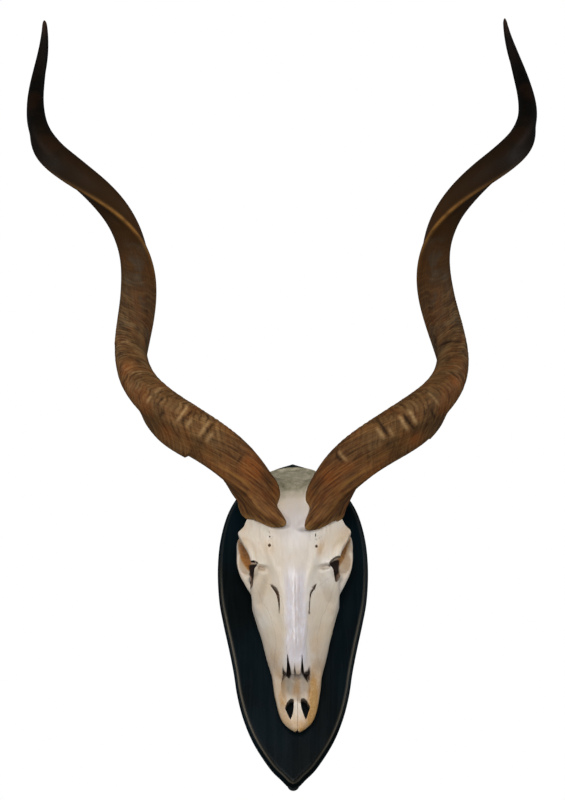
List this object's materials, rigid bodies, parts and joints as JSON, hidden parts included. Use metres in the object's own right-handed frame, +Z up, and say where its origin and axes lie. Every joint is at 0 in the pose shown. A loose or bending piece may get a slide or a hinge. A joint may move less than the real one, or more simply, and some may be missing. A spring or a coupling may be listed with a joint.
{
  "type": "kudu skull mount on shield plaque",
  "caption": "Bleached greater kudu skull with keeled spiral horns, fixed on a dark moulded wooden wall shield.",
  "frame": {"origin": "middle of the plaque's flat back, halfway between its top and its tip", "axes": "+Z up the wall, +X to the right as seen by the viewer, +Y into the wall; the viewer stands at -Y"},
  "size_m": [0.781, 0.3331, 1.1412],
  "materials": {
    "ebonised_wood": "satin black",
    "bone": "bleached bone, slightly glossy",
    "horn": "matt ringed horn",
    "enamel": "worn enamel",
    "steel": "plain steel"
  },
  "bodies": {
    "root": {"plaque": "ebonised_wood", "skull": "bone", "horn_left": "horn", "horn_right": "horn", "cheek_teeth_left": "enamel", "cheek_teeth_right": "enamel", "fixing_screw_upper": "steel", "fixing_screw_lower": "steel"}
  },
  "joints": []
}
